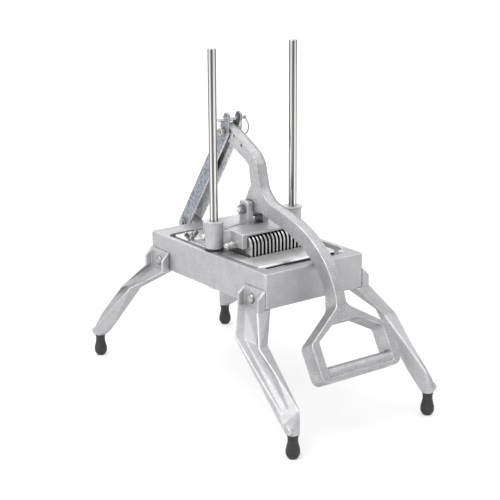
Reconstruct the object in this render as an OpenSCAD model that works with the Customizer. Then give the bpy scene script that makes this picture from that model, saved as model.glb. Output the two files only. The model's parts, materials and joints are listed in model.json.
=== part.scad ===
// Lever-operated onion slicer on four splayed legs.
// A handle lever pushes a finned head down two guide rods, through a row of fixed blades.
// Origin: on the table, midway between the feet. +X right, +Y to the rear, +Z up, handle at -Y.

/* [Frame] */
// Width of the frame casting
frame_w = 184; // [176:1:196]
// Depth of the frame casting, front to rear
frame_d = 300; // [280:1:320]
// Height of the frame walls
frame_h = 53.5; // [46:0.5:60]
// Height of the frame's lower edge above the table, for a pan
frame_lift = 180; // [160:1:200]
// Thickness of the side walls
side_wall = 7; // [5:0.5:9]
// Thickness of the front and rear walls
end_wall = 8; // [6:0.5:12]
// Depth of the top flange at the front and the rear
end_rim = 33; // [28:1:40]
// Thickness of the front and rear top flange
rim_t = 9; // [8:0.5:14]
// Corner radius of the frame outside
frame_corner_r = 3; // [2:0.5:10]
// Corner radius of the top opening
opening_r = 14; // [8:1:20]
// Height of the ledges that carry the deck
ledge_h = 8; // [5:0.5:12]
// How far the front and rear ledges reach under the deck
ledge_reach = 8; // [5:0.5:12]

/* [Legs and feet] */
// Distance of each foot's centre from the middle, sideways
foot_x = 128.5; // [118:0.5:140]
// Distance of each foot's centre from the middle, front to rear
foot_y = 260; // [245:1:275]
// Height of the rubber foot
foot_h = 36; // [30:1:42]
// Radius of the rubber ball at the floor
foot_r = 10.3; // [9.5:0.1:12]
// Radius of the rubber neck
foot_neck_r = 7.6; // [6.5:0.1:8.5]
// Radius of the leg's spigot inside the rubber
spigot_r = 4; // [3:0.1:4.5]
// Length of the leg pad along the side wall
pad_len = 51; // [46:1:56]
// How far the leg pad stands off the wall
pad_depth = 14; // [12:0.5:16]
// Height of the leg pad above the lower edge of the frame
pad_rise = 29; // [25:1:33]
// Drop of the leg pad's top towards its outer edge
pad_slope = 12; // [8:0.5:14]
// How far the leg's shoulder reaches under the side wall
seat_in = 10.7; // [8:0.1:12]
// Thickness of the leg web
leg_web = 4; // [3.5:0.5:6]
// Width of the rims along the leg
leg_rim = 3.5; // [2.5:0.5:6]
// Depth of the channel in the leg's outer face
channel_depth = 9; // [6:0.5:12]
// Slope of the channel sides, as width over their depth
channel_draft = 8; // [4:0.5:9]
// Slope of the channel sides at the pad, as width over their depth
pad_draft = 2.5; // [1:0.5:6]
// Drop from the lower edge of the frame to the bend of the leg
bend_drop = 36; // [30:1:42]
// How far the bend of the leg stands off the side wall
bend_out = 43.5; // [38:0.5:48]
// Distance from the end of the frame to the middle of the bend
bend_fore = 13; // [8:1:18]
// Length of the leg section at the bend
bend_len = 47; // [42:1:52]
// Depth of the leg section at the bend
bend_depth = 20.5; // [17:0.5:24]
// Slope of the bend towards the foot, in degrees
bend_slope = 12; // [6:1:18]
// Depth of the leg section above the foot
shank_depth = 32; // [27:0.5:35]
// Width of the leg at its foot end
shank_w = 32.5; // [29:0.5:36]
// Turn of the bend towards the corner, in degrees
bend_turn = 15; // [8:1:22]
// Turn of the leg's foot end towards the corner, in degrees
shank_turn = 66; // [58:1:72]
// Lean of the leg's foot end, in degrees
shank_lean = 39; // [34:1:46]
// Radius of the boss on the leg above the foot
nub_r = 6; // [4:0.5:7]
// How far that boss reaches beyond the middle of the foot
nub_out = 11.5; // [9:0.5:14]

/* [Guide rods] */
// Diameter of the guide rods
rod_d = 12.7; // [10:0.1:16]
// Height of the rod tops above the table
rod_top = 538.5; // [500:0.5:560]
// Distance of each rod from the outer face of the side wall
rod_inset = 16.5; // [15.5:0.5:18]
// Radius of the frame's rod pads
rod_pad_r = 13; // [11:0.5:13.5]
// Thickness of the rubber bumpers
bumper_t = 3.4; // [2:0.1:6]

/* [Blade cassette] */
// Thickness of the deck plate
deck_t = 5.5; // [4:0.5:7]
// How far the deck lies below the top of the frame
deck_sink = 2.5; // [1:0.5:4]
// Width of the deck plate
deck_w = 148; // [147:1:152]
// Half length of the window in the deck
window_y = 60.5; // [60.5:0.5:64]
// Slice thickness plus one blade
pitch = 6.9; // [6.2:0.05:6.9]
// Number of pusher fins
fin_count = 15; // [11:2:15]
// Thickness of a blade
blade_t = 0.5; // [0.4:0.1:0.8]
// Height of a blade
blade_h = 12; // [9:0.5:13]
// Diameter of the rods that hold the blades
blade_rod_d = 5; // [4:0.5:6]
// Distance of the studs behind the middle
stud_y = 74; // [72:1:84]
// Diameter of the studs
stud_d = 6; // [5:0.5:7]
// Span of a wing nut
wing_span = 26; // [22:1:27]

/* [Pusher head] */
// Radius of the sliding bosses
boss_r = 14; // [12.5:0.5:15]
// Height of the sliding bosses
boss_h = 39; // [36:0.5:46]
// Outer radius of the bushings
bushing_r = 9.5; // [8.5:0.1:11]
// Radius of the bushing flange
flange_r = 15; // [13.5:0.5:17]
// Thickness of the bushing flange
flange_t = 2.5; // [2:0.5:4]
// Half length of the hood
hood_y = 52; // [48:0.5:54]
// Height of the hood's flat top above the frame
hood_rise = 33; // [30:0.5:36]
// Thickness of the hood
hood_t = 4; // [3:0.5:5]
// Thickness of the cheeks
cheek_t = 9.5; // [7:0.5:10.5]
// Drop of the hood's front and rear edges
hood_slope = 1; // [0.5:0.5:3]
// Thickness of each lever lug
lug_t = 10; // [8:0.5:12]
// Half width of the lever lugs, front to rear
lug_y = 11.2; // [10:0.1:14]
// Height of the lugs above the lever pin
lug_over = 13; // [11:0.5:17]
// Half width of the arm at the cheek
arm_y = 21; // [16:0.5:22]

/* [Fins] */
// Thickness of a fin
fin_t = 2.9; // [2.2:0.1:3.4]
// Half length of a fin
fin_y = 58.5; // [53:0.5:58.5]
// Depth of the fins below the top of the frame
fin_drop = 19.5; // [16:0.5:21]
// Radius of the fins' upper corners
fin_round = 14; // [8:1:18]
// Distance of each fin rod from the middle
fin_rod_y = 30; // [30:0.5:36]
// Diameter of the fin rods
fin_rod_d = 6; // [5:0.5:7]

/* [Lever] */
// Thickness of the lever
lever_t = 17.6; // [14:0.2:17.8]
// Height of the lever pin above the frame
pin_rise = 54.5; // [52:0.5:60]
// Diameter of the lever pin
pin_d = 9.5; // [8:0.5:11]
// Radius of the lever's boss at its pin
lever_boss_r = 14; // [11:0.5:16]
// Half width of the loop, outside
loop_x = 74; // [66:1:82]
// Width of the loop's side bars
loop_bar = 14; // [10:0.5:17]
// Depth of the loop, front to back
loop_depth = 29; // [26:0.5:31]
// Length of the loop's straight sides
loop_side = 59; // [50:1:68]
// Drop of the loop's shoulders below its neck
loop_shoulder = 44; // [38:1:50]
// Slope of the loop below the horizontal, in degrees
loop_angle = 60.4; // [54:0.1:66]
// Radius of the grip bar
grip_r = 11; // [9:0.5:12]
// Length of the bolt slot in the nose beyond the bolt
nose_slot = 9; // [8.8:0.1:10]

/* [Link] */
// Distance of the link's lower pin behind the frame
link_behind = 28; // [26:1:36]
// Drop of the link's lower pin below the top of the frame
link_drop = 5.5; // [2:0.5:10]
// Width of the link flanges
link_w = 26; // [22:1:30]
// How far the link flanges reach behind the middle of their pins
link_back = 9.5; // [9:0.5:11]
// Inside width of the link channel
link_gap = 19.6; // [19:0.2:22]
// Sheet thickness of the link
link_t = 3; // [2.5:0.5:4]
// Length of the ears beyond the link bolt
ear_len = 30; // [28:1:34]
// Diameter of the link bolt
bolt_d = 8; // [7:0.5:9]
// Diameter of the detent pin
detent_d = 6.3; // [5:0.1:7]
// Radius of the pull ring
ring_r = 13; // [10:0.5:15]

/* [Clearances] */
// Gap between pieces that move past each other
gap = 0.3; // [0.2:0.05:0.5]
// Radial play of a pin or rod in its bore
play = 0.05; // [0.02:0.01:0.1]

/* [Hidden] */
$fn = 48;

cast = "#c4c4c6";
polished = "#dadadc";
steel = "#b9b7b2";
zinc = "#a9adb8";
yellow_zinc = "#c9c29a";
rubber = "#26262a";
nylon = "#d9d9d6";

frame_z = frame_lift;
frame_top = frame_lift + frame_h;
rod_x = frame_w / 2 - rod_inset;
opening_x = frame_w / 2 - side_wall;
opening_y = frame_d / 2 - end_rim;

deck_top = frame_top - deck_sink;
deck_z = deck_top - deck_t;
deck_gap = 0.8;
fin_span = (fin_count - 1) * pitch / 2;
window_x = fin_span + pitch / 2 + 2.5;
rail_x = window_x + 1;
rail_t = 5;
blade_top = deck_z - 1;
blade_z = blade_top - blade_h;
blade_rod_y = window_y + 5.5;
blade_rod_z = blade_z + blade_h / 2;
blade_y = blade_rod_y + blade_rod_d / 2 + 3;
stud_lug = 6.5;
stud_inset = 7;
stud_x = deck_w / 2 - stud_inset;
stud_boss_drop = 7;
stud_top = deck_top + 13;

boss_z = frame_top + bumper_t + gap;
boss_top = boss_z + boss_h;
hood_top = frame_top + hood_rise;
hood_under = hood_top - hood_slope - hood_t;
cheek_x = fin_span + fin_t / 2 + 0.8;
cheek_out = cheek_x + cheek_t;
cheek_z = frame_top + 9;
fin_z = frame_top - fin_drop;
fin_top = hood_under - gap;
fin_rod_z = frame_top + 12;
nut_size = fin_rod_d * 1.15;
dome_at = nut_size * 1.85;
rib_rise = 2;

pin_y = 2;
pin_z = frame_top + pin_rise;
lug_x = lever_t / 2 + 0.7;
lug_out = lug_x + lug_t;
lug_fore = 1.3;

bolt_from_pin = [60, 111];
bolt_y = pin_y + bolt_from_pin[0];
bolt_z = pin_z + bolt_from_pin[1];
slot_way = [-6.24, -6.13];
slot_slack = 0.9;
pivot_y = frame_d / 2 + link_behind;
pivot_z = frame_top - link_drop;
link_run = [bolt_y - pivot_y, bolt_z - pivot_z];
link_len = norm(link_run);
link_angle = atan2(link_run[1], link_run[0]);
flange_out = link_gap / 2 + link_t;
detent_at = [17, -6.8];

rod_nut_h = 6;
screw_d = 8;
screw_y = frame_d / 2 - pad_len / 2 - 3;
screw_z = frame_z + 12;
bend_x = frame_w / 2 + bend_out;
bend_y = frame_d / 2 + bend_fore;
bend_z = frame_z - bend_drop;
shank_x = foot_x + 3.2;
shank_y = foot_y - 0.5;
shank_z = foot_h + 24.5;
seat_gap = 0.55;

// Shared geometry

function unit(v) = v / norm(v);
function xy(p) = [p[0], p[1]];
function turn(d) = d > 180 ? d - 360 : d < -180 ? d + 360 : d;

// Points of one corner b of an outline, rounded to radius r between its neighbours a and c.
function round_corner(a, b, c, r, n) =
    r <= 0 ? [b] :
    let (u = unit(a - b), w = unit(c - b), half = acos(u * w) / 2,
         middle = b + unit(u + w) * r / sin(half),
         from = b + u * r / tan(half) - middle,
         to = b + w * r / tan(half) - middle,
         start = atan2(from[1], from[0]),
         sweep = turn(atan2(to[1], to[0]) - start))
    [for (i = [0:n]) middle + r * [cos(start + sweep * i / n), sin(start + sweep * i / n)]];

// Outline through corners given as [x, y, radius].
function rounded(corners, n = 5) =
    let (m = len(corners))
    [for (i = [0:m - 1]) each round_corner(xy(corners[(i + m - 1) % m]), xy(corners[i]),
                                           xy(corners[(i + 1) % m]), corners[i][2], n)];

function spline_point(a, b, c, d, t) =
    0.5 * (2 * b + (c - a) * t + (2 * a - 5 * b + 4 * c - d) * t * t + (3 * b - a - 3 * c + d) * t * t * t);

// Smooth path through stations of [y, z, half width].
function spline(p, n = 4) =
    let (m = len(p) - 1)
    concat([for (i = [0:m - 1], j = [0:n - 1])
                spline_point(p[max(i - 1, 0)], p[i], p[i + 1], p[min(i + 2, m)], j / n)],
           [p[m]]);

function edge(path, s) =
    [for (i = [0:len(path) - 1])
        let (d = unit(xy(path[min(i + 1, len(path) - 1)]) - xy(path[max(i - 1, 0)])))
        xy(path[i]) + s * path[i][2] * [-d[1], d[0]]];

function reversed(p) = [for (i = [len(p) - 1:-1:0]) p[i]];

// Outline of a strip that follows a path, as wide as its stations say.
function ribbon(path) = concat(edge(path, 1), reversed(edge(path, -1)));

function rectangle(x, y, r) = rounded([[x, y, r], [-x, y, r], [-x, -y, r], [x, -y, r]]);

// Extrudes a side view, drawn as (y, z), along X from x0 to x1.
module side_view(x0, x1) {
    translate([x0, 0, 0]) rotate([90, 0, 90]) linear_extrude(x1 - x0) children();
}

// Extrudes a front view, drawn as (x, z), along Y from y0 to y1.
module front_view(y0, y1) {
    translate([0, y1, 0]) rotate([90, 0, 0]) linear_extrude(y1 - y0) children();
}

module rod_along_x(x0, x1, y, z, d) {
    translate([x0, y, z]) rotate([0, 90, 0]) cylinder(d = d, h = x1 - x0);
}

module at_corner(sx, sy) {
    mirror([sx < 0 ? 1 : 0, 0, 0]) mirror([0, sy < 0 ? 1 : 0, 0]) children();
}

module at_side(sx) {
    mirror([sx < 0 ? 1 : 0, 0, 0]) children();
}

module hex_nut(size, height, bore) {
    difference() {
        cylinder(r = size, h = height, $fn = 6);
        translate([0, 0, -1]) cylinder(d = bore, h = height + 2);
    }
}

// Frame casting

module frame_shell() {
    difference() {
        translate([0, 0, frame_z]) linear_extrude(frame_h)
            polygon(rectangle(frame_w / 2, frame_d / 2, frame_corner_r));
        translate([0, 0, frame_z - 1]) linear_extrude(frame_h - rim_t + 1)
            polygon(rectangle(opening_x, frame_d / 2 - end_wall, opening_r));
        translate([0, 0, frame_z]) linear_extrude(frame_h + 1)
            polygon(rectangle(opening_x, opening_y, opening_r));
    }
}

module frame_ledge() {
    front_half = opening_x - opening_r - 1;
    translate([-front_half, opening_y - ledge_reach, deck_z - ledge_h])
        cube([2 * front_half, ledge_reach + end_rim - end_wall / 2, ledge_h]);
}

// Lug under the deck with a long boss for its stud
module stud_lug_block() {
    translate([stud_x - stud_lug, stud_y - stud_lug, deck_z - ledge_h])
        cube([opening_x + side_wall / 2 - stud_x + stud_lug, 2 * stud_lug, ledge_h]);
    translate([stud_x, stud_y, frame_z - stud_boss_drop])
        cylinder(d = 2 * stud_d, h = deck_z - frame_z + stud_boss_drop);
}

module link_lug() {
    lug_half = link_gap / 2 - gap - 2 * play;
    lug_r = link_w / 2;
    side_view(-lug_half, lug_half) union() {
        translate([pivot_y, pivot_z]) circle(r = lug_r);
        polygon([[frame_d / 2 - end_wall / 2, frame_top - rim_t / 4], [pivot_y, pivot_z + lug_r],
                 [pivot_y, pivot_z - lug_r], [frame_d / 2 - end_wall / 2, frame_z + frame_h / 4]]);
    }
}

module base_frame() {
    color(cast) difference() {
        union() {
            frame_shell();
            for (sy = [-1, 1]) at_corner(1, sy) frame_ledge();
            for (sx = [-1, 1]) at_side(sx) {
                stud_lug_block();
                translate([rod_x, 0, frame_z]) cylinder(r = rod_pad_r, h = frame_h);
                translate([rod_x, -rod_pad_r, frame_z])
                    cube([opening_x + side_wall / 2 - rod_x, 2 * rod_pad_r, frame_h]);
            }
            link_lug();
        }
        for (sx = [-1, 1]) at_side(sx) {
            translate([rod_x, 0, frame_z - 1]) cylinder(d = rod_d + 2 * play, h = frame_h + 2);
            translate([stud_x, stud_y, frame_z]) cylinder(d = stud_d + 2 * play, h = frame_h);
            for (sy = [-1, 1])
                rod_along_x(opening_x - 1, frame_w / 2 + 1, sy * screw_y, screw_z, screw_d + 2 * play);
        }
        rod_along_x(-link_gap, link_gap, pivot_y, pivot_z, pin_d + 2 * play);
    }
}

// Legs: a channel casting with a pad on the side wall, a bend and a slanted shank

// One slice across the leg, as wide as w along the wall and as deep as d.
module leg_slice(w, d) {
    linear_extrude(1, center = true)
        polygon(rounded([[-d, -w / 2, 3], [0, -w / 2, 1], [0, w / 2, 1], [-d, w / 2, 3]], 3));
}

// The channel of that slice, open to the outside, with sloping sides.
module channel_slice(w, d, draft = channel_draft) {
    half_open = w / 2 - leg_rim;
    half_floor = half_open - draft;
    floor_x = -d;
    linear_extrude(1, center = true)
        polygon([[floor_x, -half_floor], [2, -half_open], [2, half_open], [floor_x, half_floor]]);
}

module at_pad(z) {
    translate([frame_w / 2 + pad_depth, frame_d / 2 - pad_len / 2, z]) children();
}

module at_bend() {
    translate([bend_x, bend_y, bend_z]) rotate([0, 0, bend_turn]) rotate([-bend_slope, 0, 0]) children();
}

module at_shank() {
    translate([shank_x, shank_y, shank_z]) rotate([0, 0, shank_turn]) rotate([shank_lean, 0, 0]) children();
}

module leg_body() {
    pad_in = frame_d / 2 - pad_len;
    pad_top = frame_z + pad_rise;
    pad_x = frame_w / 2;
    front_view(pad_in, frame_d / 2)
        polygon([[pad_x, frame_z - 3], [pad_x + pad_depth, frame_z - 3],
                 [pad_x + pad_depth, pad_top - pad_slope], [pad_x + 1, pad_top], [pad_x, pad_top]]);
    // Upper part with a shoulder under the side wall
    hull() {
        at_pad(frame_z - seat_gap) leg_slice(pad_len, pad_depth + seat_in);
        at_bend() leg_slice(bend_len, bend_depth);
    }
    hull() {
        at_bend() leg_slice(bend_len, bend_depth);
        at_shank() leg_slice(shank_w, shank_depth);
    }
    hull() {
        at_shank() leg_slice(shank_w, shank_depth);
        translate([foot_x, foot_y, foot_h]) cylinder(r = foot_neck_r + 2, h = 6, $fn = 32);
    }
    // Boss on the outer face above the foot
    rod_along_x(foot_x - nub_r, foot_x + nub_out, foot_y + 2, foot_h + 7, 2 * nub_r);
}

module leg_channel() {
    hull() {
        at_pad(frame_z + pad_rise + 2) channel_slice(pad_len, pad_depth - leg_web, pad_draft);
        at_pad(frame_z - 1) channel_slice(pad_len, pad_depth - leg_web, pad_draft);
    }
    hull() {
        at_pad(frame_z - 1) channel_slice(pad_len, pad_depth - leg_web, pad_draft);
        at_bend() channel_slice(bend_len, channel_depth);
    }
    hull() {
        at_bend() channel_slice(bend_len, channel_depth);
        at_shank() translate([0, 0, 10]) channel_slice(shank_w, channel_depth);
    }
}

module leg() {
    color(cast) difference() {
        union() {
            difference() {
                leg_body();
                leg_channel();
            }
            translate([foot_x, foot_y, foot_h - 22]) cylinder(r = spigot_r, h = 24);
        }
        rod_along_x(frame_w / 2 - 1, frame_w / 2 + pad_depth + 1, screw_y, screw_z, screw_d + 2 * play);
    }
}

module foot() {
    color(rubber) translate([foot_x, foot_y, 0]) difference() {
        rotate_extrude() polygon(rounded([[0, 0, 0], [foot_r * 0.62, 0, 2], [foot_r, foot_r * 0.62, 4],
            [foot_r, foot_r * 1.3, 5], [foot_neck_r, foot_h * 0.68, 12], [foot_neck_r, foot_h - 3, 1],
            [foot_neck_r + 0.9, foot_h - 2.4, 0.4], [foot_neck_r + 0.9, foot_h, 0], [0, foot_h, 0]]));
        translate([0, 0, foot_h - 22.5]) cylinder(r = spigot_r + play, h = 24);
    }
}

module leg_screws() {
    shank_len = leg_web + side_wall + 3;
    head_r = screw_d * 0.95;
    head_h = screw_d * 0.55;
    color(steel) for (sx = [-1, 1], sy = [-1, 1]) at_corner(sx, sy)
        translate([frame_w / 2 + leg_web, screw_y, screw_z]) rotate([0, 90, 0]) rotate_extrude()
            polygon(rounded([[0, -shank_len, 0], [screw_d / 2, -shank_len, 0.8], [screw_d / 2, 0, 0],
                             [head_r, 0, 0], [head_r, head_h, head_h * 0.85], [0, head_h, 0]]));
}

// Guide rods

module guide_rod() {
    foot_z = frame_z - rod_nut_h - 2;
    color(steel) translate([rod_x, 0, foot_z]) rotate_extrude()
        polygon(rounded([[0, 0, 0], [rod_d / 2, 0, 1], [rod_d / 2, rod_top - foot_z, 1.2],
                         [0, rod_top - foot_z, 0]]));
}

module rod_nuts() {
    color(steel) for (sx = [-1, 1]) at_side(sx)
        translate([rod_x, 0, frame_z - rod_nut_h]) hex_nut(rod_d * 0.86, rod_nut_h, rod_d + 2 * play);
}

module rod_bumpers() {
    color(rubber) for (sx = [-1, 1]) translate([sx * rod_x, 0, frame_top]) difference() {
        cylinder(r = boss_r, h = bumper_t);
        translate([0, 0, -1]) cylinder(d = rod_d + 2 * play, h = bumper_t + 2);
    }
}

// Blade cassette

module blade_deck() {
    deck_y = opening_y - deck_gap;
    lip = 3.2;
    color(polished) difference() {
        union() {
            intersection() {
                translate([0, 0, deck_z]) linear_extrude(deck_t)
                    polygon(rectangle(deck_w / 2, deck_y, opening_r - 2));
                side_view(-deck_w, deck_w) polygon([[-deck_y, deck_z], [deck_y, deck_z],
                    [deck_y, deck_top - lip / 2], [deck_y - lip / 2, deck_top],
                    [lip * 2 - deck_y, deck_top], [-deck_y, deck_top - lip]]);
            }
            for (sx = [-1, 1]) at_side(sx)
                translate([rail_x, -blade_y, blade_z]) cube([rail_t, 2 * blade_y, deck_z - blade_z + 1]);
        }
        translate([0, 0, deck_z - 1]) linear_extrude(deck_t + 2) polygon(rectangle(window_x, window_y, 2));
        for (sx = [-1, 1]) {
            translate([sx * rod_x, 0, deck_z - 1]) cylinder(r = rod_pad_r + deck_gap, h = deck_t + 2);
            translate([sx * stud_x, stud_y, deck_z - 1]) cylinder(d = stud_d + 4 * play, h = deck_t + 2);
        }
        for (sy = [-1, 1])
            rod_along_x(-deck_w, deck_w, sy * blade_rod_y, blade_rod_z, blade_rod_d + 2 * play);
    }
}

module slicing_blades() {
    color(steel) for (i = [0:fin_count]) translate([(i - fin_count / 2) * pitch - blade_t / 2, 0, 0])
        difference() {
            side_view(0, blade_t) polygon(rounded([[-blade_y, blade_z, 0], [blade_y, blade_z, 0],
                [blade_y, blade_top, 2], [-blade_y, blade_top, 2]], 3));
            for (sy = [-1, 1])
                rod_along_x(-1, blade_t + 1, sy * blade_rod_y, blade_rod_z, blade_rod_d + 2 * play);
        }
}

module blade_rods() {
    half = rail_x + rail_t;
    color(steel) for (sy = [-1, 1]) rod_along_x(-half, half, sy * blade_rod_y, blade_rod_z, blade_rod_d);
}

module deck_studs() {
    color(steel) for (sx = [-1, 1]) translate([sx * stud_x, stud_y, frame_z])
        cylinder(d = stud_d, h = stud_top - frame_z);
}

module wing_nut() {
    hub_r = stud_d * 0.95;
    hub_h = 7;
    color(steel) translate([stud_x, stud_y, deck_top + gap]) difference() {
        union() {
            cylinder(r1 = hub_r, r2 = hub_r * 0.8, h = hub_h);
            for (s = [0, 180]) rotate([0, 0, s]) rotate([90, 0, 0]) linear_extrude(2.4, center = true)
                polygon(rounded([[hub_r * 0.5, 1.5, 0], [hub_r + 1.5, 2, 1], [wing_span / 2, 9, 2],
                                 [wing_span / 2 - 1, 14, 3], [wing_span / 2 - 5, 13, 2],
                                 [hub_r * 0.5, hub_h, 0]], 3));
        }
        translate([0, 0, -1]) cylinder(d = stud_d + 2 * play, h = hub_h + 20);
    }
}

// Rear pivot of the link

module link_pivot_pin() {
    half = flange_out + gap + 4.5;
    color(steel) difference() {
        rod_along_x(-half, half, pivot_y, pivot_z, pin_d);
        for (sx = [-1, 1]) at_side(sx) translate([flange_out + gap, pivot_y, pivot_z]) rotate([0, 90, 0])
            difference() {
                cylinder(d = pin_d + 2, h = 1.4);
                translate([0, 0, -1]) cylinder(d = pin_d - 2, h = 4);
            }
    }
}

module link_pivot_clips() {
    color(steel) for (sx = [-1, 1]) at_side(sx) translate([flange_out + gap + play, pivot_y, pivot_z])
        rotate([0, 90, 0]) difference() {
            cylinder(r = pin_d * 0.85, h = 1.3);
            translate([0, 0, -1]) cylinder(d = pin_d - 2 + 2 * play, h = 4);
            translate([-pin_d / 4, pin_d / 4, -1]) cube([pin_d / 2, pin_d, 4]);
        }
}

// Pusher head

// Hood seen from the side: a flat top with sloping front and rear strips.
module hood_side() {
    flat = hood_y - 17;
    edge_z = hood_top - hood_slope;
    polygon(rounded([[-hood_y, cheek_z, 0], [hood_y, cheek_z, 0], [hood_y, edge_z, 1.5], [flat, hood_top, 4],
                     [-flat, hood_top, 4], [-hood_y, edge_z, 1.5]], 3));
}

module head_arm() {
    reach = rod_x - boss_r * 0.5;
    hollow = 7;
    waist = boss_r * 0.75;
    intersection() {
        translate([0, 0, cheek_z - 1]) linear_extrude(boss_top) polygon(rounded([
            [cheek_out - 2, -arm_y, 0], [cheek_out + 1, -arm_y, 0], [cheek_out + hollow, -waist, 5],
            [reach, -waist, 0], [reach, waist, 0], [cheek_out + hollow, waist, 5], [cheek_out + 1, arm_y, 0],
            [cheek_out - 2, arm_y, 0]]));
        front_view(-arm_y * 3, arm_y * 3) polygon([[cheek_out - 2, cheek_z], [rod_x, cheek_z],
            [rod_x, boss_top - flange_t - 2], [cheek_out + hollow, hood_top - 1],
            [cheek_out - 2, hood_top - hood_slope]]);
    }
}

module head_lug() {
    front = pin_y - lug_fore - lug_y;
    rear = pin_y - lug_fore + lug_y;
    side_view(lug_x, lug_out) polygon(rounded([[front, hood_top - 2, 0], [rear, hood_top - 2, 0],
        [rear, pin_z + lug_over, 4], [front, pin_z + lug_over, 4]]));
}

// Rib on the hood that narrows from a boss to its lever lug
module hood_rib() {
    translate([0, 0, hood_top - 1]) linear_extrude(rib_rise + 1)
        polygon([[lug_out - 2, -1.5], [lug_out - 2, lug_y * 0.8], [rod_x - boss_r / 2, boss_r * 0.9],
                 [rod_x - boss_r / 2, -boss_r * 0.9]]);
}

module pusher_head() {
    color(cast) difference() {
        union() {
            difference() {
                side_view(-cheek_out, cheek_out) hood_side();
                translate([-cheek_x, -hood_y - 1, cheek_z - 1])
                    cube([2 * cheek_x, 2 * hood_y + 2, hood_under - cheek_z + 1]);
            }
            for (sx = [-1, 1]) at_side(sx) {
                head_arm();
                translate([rod_x, 0, boss_z]) cylinder(r = boss_r, h = boss_h);
                head_lug();
                hood_rib();
            }
        }
        for (sx = [-1, 1]) at_side(sx)
            translate([rod_x, 0, boss_z - 1]) cylinder(r = bushing_r, h = boss_h + 20);
        for (sy = [-1, 1]) rod_along_x(-rod_x, rod_x, sy * fin_rod_y, fin_rod_z, fin_rod_d + 2 * play);
        rod_along_x(-rod_x, rod_x, pin_y, pin_z, pin_d + 2 * play);
    }
}

module bushing() {
    color(nylon) translate([rod_x, 0, boss_z]) difference() {
        union() {
            cylinder(r = bushing_r, h = boss_h);
            translate([0, 0, boss_h]) cylinder(r = flange_r, h = flange_t);
        }
        translate([0, 0, -1]) cylinder(d = rod_d + 2 * play, h = boss_h + flange_t + 2);
    }
}

module pusher_fins() {
    color(steel) for (i = [0:fin_count - 1]) translate([i * pitch - fin_span - fin_t / 2, 0, 0])
        difference() {
            side_view(0, fin_t) polygon(rounded([[-fin_y, fin_z, 2], [fin_y, fin_z, 2],
                [fin_y, fin_top, fin_round], [-fin_y, fin_top, fin_round]]));
            for (sy = [-1, 1]) rod_along_x(-1, fin_t + 1, sy * fin_rod_y, fin_rod_z, fin_rod_d + 2 * play);
        }
}

module fin_rods() {
    half = cheek_out + nut_size * 1.4;
    color(steel) for (sy = [-1, 1]) rod_along_x(-half, half, sy * fin_rod_y, fin_rod_z, fin_rod_d);
}

module fin_spacers() {
    color(steel) for (i = [0:fin_count - 2], sy = [-1, 1])
        translate([i * pitch - fin_span + fin_t / 2, sy * fin_rod_y, fin_rod_z]) rotate([0, 90, 0])
            difference() {
                cylinder(d = fin_rod_d + 4, h = pitch - fin_t);
                translate([0, 0, -1]) cylinder(d = fin_rod_d + 2 * play, h = pitch);
            }
}

module acorn_nuts() {
    hex_h = nut_size * 0.9;
    color(polished) for (sx = [-1, 1], sy = [-1, 1]) at_corner(sx, sy)
        translate([cheek_out, fin_rod_y, fin_rod_z]) rotate([0, 90, 0]) difference() {
            union() {
                cylinder(r = nut_size, h = hex_h, $fn = 6);
                translate([0, 0, hex_h]) cylinder(r = nut_size * 0.82, h = dome_at - hex_h);
                translate([0, 0, dome_at]) sphere(r = nut_size * 0.82);
            }
            translate([0, 0, -1]) cylinder(d = fin_rod_d + 2 * play, h = nut_size * 1.4 + 1.1);
        }
}

module lever_pin() {
    color(steel) {
        rod_along_x(-lug_out - 9, lug_out, pin_y, pin_z, pin_d);
        translate([lug_out, pin_y, pin_z]) rotate([0, 90, 0]) cylinder(r = pin_d * 0.8, h = 5, $fn = 6);
    }
}

module lever_pin_nut() {
    color(steel) translate([-lug_out - 7, pin_y, pin_z]) rotate([0, 90, 0])
        hex_nut(pin_d * 0.8, 7, pin_d + 2 * play);
}

// Lever with its loop handle

// Middle line of the lever from its nose to the neck of the loop: [y, z, half width], from the pin.
lever_line = [[bolt_from_pin[0] + 1, bolt_from_pin[1] + 1, 11.2], [bolt_from_pin[0] - 30, 96, 11.2],
              [-7, 75, 11], [-15, 50, 12], [-23, 27, 12.5], [-46, 7, 12], [-78, -1, 12], [-110, -11, 12.5],
              [-141, -25, 12.5], [-168, -45, 12], [-186, -67, 11.5], [-196, -88.5, 12.6], [-199, -105.5, 14.5]];
loop_at = [-213.5, -101.5];

module lever_side() {
    translate([pin_y, pin_z]) {
        polygon(ribbon(spline(lever_line)));
        translate(bolt_from_pin) circle(r = 11.8);
        circle(r = lever_boss_r);
        polygon([[-24, 34], [-4, 36], [lever_boss_r * 0.75, lever_boss_r * 0.66], [0, -lever_boss_r / 2],
                 [-13, -2.6], [-29, -2.2], [-46, -6]]);
    }
}

// The loop lies in its own plane: x across, y down from its neck.
module loop_outline() {
    bottom = loop_shoulder + loop_side;
    neck = lever_t / 2 + gap;
    polygon(rounded([[-neck, -8, 0], [neck, -8, 0], [neck, 0, 14], [loop_x, loop_shoulder, 9], [loop_x, bottom, 12],
                     [-loop_x, bottom, 12], [-loop_x, loop_shoulder, 9], [-neck, 0, 14]]));
}

module loop_opening() {
    inner = loop_x - loop_bar;
    sill = loop_shoulder + loop_side - 7;
    polygon(rounded([[-24, 22.5, 5], [24, 22.5, 5], [inner, loop_shoulder, 7], [inner, sill, 3],
                     [-inner, sill, 3], [-inner, loop_shoulder, 7]]));
}

module loop() {
    translate([0, pin_y + loop_at[0], pin_z + loop_at[1]]) rotate([loop_angle - 180, 0, 0]) {
        difference() {
            linear_extrude(loop_depth) loop_outline();
            translate([0, 0, -1]) linear_extrude(loop_depth + 2) loop_opening();
        }
        rod_along_x(loop_bar / 2 - loop_x, loop_x - loop_bar / 2, loop_shoulder + loop_side - grip_r - 1,
                    grip_r + 1, 2 * grip_r);
    }
}

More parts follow.
